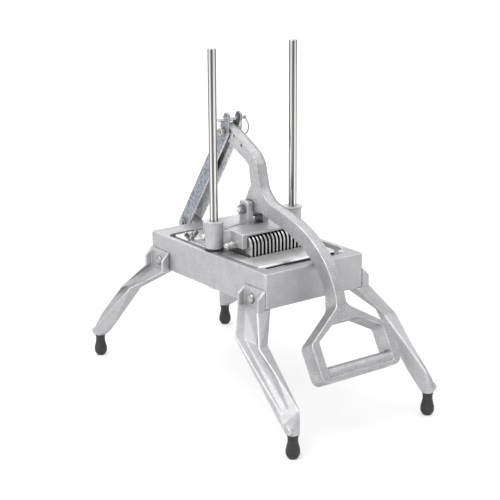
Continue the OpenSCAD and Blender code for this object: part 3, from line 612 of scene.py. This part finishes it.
# The pusher plates have painted shade on the sides between them, plain steel on the outermost sides and
# a painted highlight on their edges
PLATE_SIDE = 0.95
OUTER_BAND = 1 * MM
plates = bpy.data.objects["pusher_fins_piece"].data
plates.materials.append(FIN_SIDES_SHADE)
plates.materials.append(STEEL)
outermost = max(abs(point.co.x) for point in plates.vertices) - OUTER_BAND
# Painted shade on the sides facing the next plate
for face in plates.polygons:
    if abs(face.normal.x) > PLATE_SIDE:
        face.material_index = 1 if abs(face.center.x) < outermost else 2

# The deck stops short of the front flange, with a painted highlight on its bevel and painted shade on
# its front edge
LIP_DEPTH = 2 * MM
LIP_BACK = 7 * MM
LIP_HEIGHT = 4.5 * MM
LIP_RISE = 1.2 * MM
BEVEL_DEPTH = 12 * MM
BEVEL_BACK = 4 * MM
FRONT_DEPTH = 15 * MM
FACES_FORWARD = -0.2
FACES_FRONT = -0.85
deck = bpy.data.objects["blade_deck_piece"].data
deck.materials.append(DECK_BEVEL_HIGHLIGHT)
deck.materials.append(DARK_FILL)
deck_front = min(point.co.y for point in deck.vertices)
deck_top = max(point.co.z for point in deck.vertices)
for point in deck.vertices:
    if point.co.y < deck_front + LIP_DEPTH:
        point.co.y += LIP_BACK
        if point.co.z > deck_top - LIP_HEIGHT:
            point.co.z += LIP_RISE
    elif point.co.y < deck_front + BEVEL_DEPTH:
        point.co.y += BEVEL_BACK
# Painted highlight on the bevel faces, painted shade on the front faces
for face in deck.polygons:
    if face.center.y < deck_front + FRONT_DEPTH and face.normal.y < FACES_FORWARD:
        face.material_index = 2 if face.normal.y < FACES_FRONT else 1

# Painted shade on the trough's rear strip and on the hood below the lever, and darker faces in the
# lever's dimples
DARK_PATCHES = {
    "base_frame_casting": in_trough,
    "lever_handle_casting": in_dimple,
    "pusher_head_casting": under_lever,
}
for piece, is_darkened in DARK_PATCHES.items():
    form = bpy.data.objects[piece].data
    form.materials.append(DARK_FILL)
    for face in form.polygons:
        if is_darkened(face.center):
            face.material_index = 1

# Inside the link's channel the plating gets painted light, with painted shade deep in its fold
FLANGE_INWARD = -0.9
WEB_SIDEWAYS = 0.3
WEB_FORWARD = -0.5
WEB_DOWN = -0.3
link = bpy.data.objects["handle_link_piece"].data
link.materials.append(ZINC_INSIDE_PAINTED_LIGHT)
for face in link.polygons:
    way = face.normal
    inner_flange = way.x < FLANGE_INWARD and face.center.x > 0
    inner_web = abs(way.x) < WEB_SIDEWAYS and way.y < WEB_FORWARD and way.z < WEB_DOWN
    if inner_flange or inner_web:
        face.material_index = 1


# Stage, light and camera, in metres

FLOOR_REACH = 60.0
FLOOR_GLOW = 0.38
MIDDLE = Vector((0, 0, 0.25))
FRONT_RIGHT = (0.6, -0.8, 0)
OVERHEAD = (0, 0, 1)
WHITE = (1, 1, 1, 1)


def floor_look():
    """Pale paper with a faint cloud and a glow of its own."""
    look = Look("floor_paper", (0.55, 0.55, 0.55), 0.9, 0.0)
    tone = look.noise(3, 2)
    look.colour(look.ramp(tone, [(0.3, (0.545, 0.545, 0.545)), (0.7, (0.56, 0.56, 0.56))]))
    look.shader.inputs["Emission Color"].default_value = WHITE
    look.shader.inputs["Emission Strength"].default_value = FLOOR_GLOW
    return look.material


floor_mesh = bpy.data.meshes.new("floor")
floor_corners = [(x * FLOOR_REACH, y * FLOOR_REACH, 0) for x, y in ((-1, -1), (1, -1), (1, 1), (-1, 1))]
floor_mesh.from_pydata(floor_corners, [], [(0, 1, 2, 3)])
floor_mesh.materials.append(floor_look())
floor = bpy.data.objects.new("floor", floor_mesh)
scene.collection.objects.link(floor)


def softbox(name, place, size, power):
    """A rectangular lamp that points at the middle of the part."""
    lamp = bpy.data.lights.new(name, "AREA")
    lamp.shape = "RECTANGLE"
    lamp.size, lamp.size_y = size
    lamp.energy = power
    box = bpy.data.objects.new(name, lamp)
    box.location = place
    box.rotation_euler = (MIDDLE - Vector(place)).to_track_quat("-Z", "Y").to_euler()
    scene.collection.objects.link(box)


softbox("high_left_box", (-1.7, -0.7, 2.5), (2.2, 2.2), 38)
softbox("rear_box", (0.9, 2.2, 1.5), (1.6, 0.8), 10)


def studio_world():
    """A bright surround, brighter overhead and darker towards the front right."""
    world = bpy.data.worlds.new("studio")
    scene.world = world
    world.use_nodes = True
    tree = world.node_tree
    place = tree.nodes.new("ShaderNodeTexCoord").outputs["Generated"]

    def towards(way, low, high, out_low, out_high):
        dot = tree.nodes.new("ShaderNodeVectorMath")
        dot.operation = "DOT_PRODUCT"
        dot.inputs[1].default_value = way
        tree.links.new(place, dot.inputs[0])
        fall = tree.nodes.new("ShaderNodeMapRange")
        fall.interpolation_type = "SMOOTHSTEP"
        set_range(fall, low, high, out_low, out_high)
        tree.links.new(dot.outputs["Value"], fall.inputs["Value"])
        return fall.outputs["Result"]

    product = tree.nodes.new("ShaderNodeMath")
    product.operation = "MULTIPLY"
    tree.links.new(towards(FRONT_RIGHT, -0.1, 0.9, 0.88, 0.65), product.inputs[0])
    tree.links.new(towards(OVERHEAD, 0.3, 0.95, 1.0, 1.9), product.inputs[1])
    background = tree.nodes["Background"]
    background.inputs["Color"].default_value = WHITE
    tree.links.new(product.outputs[0], background.inputs["Strength"])


studio_world()
scene.view_settings.view_transform = "Standard"

EYE = Vector((-1.2445, -1.6654, 0.8288))
RIGHT = Vector((0.80196, -0.59738, -0.00536))
UP = Vector((0.17209, 0.22242, 0.95966))
BACK = Vector((-0.5721, -0.7705, 0.2812))
lens = bpy.data.cameras.new("photo_camera")
lens.lens = 100.66
lens.sensor_width = 36
lens.clip_end = 2 * FLOOR_REACH
camera = bpy.data.objects.new("photo_camera", lens)
turn = Matrix((RIGHT, UP, BACK)).transposed().to_4x4()
camera.matrix_world = Matrix.Translation(EYE) @ turn
scene.collection.objects.link(camera)
scene.camera = camera
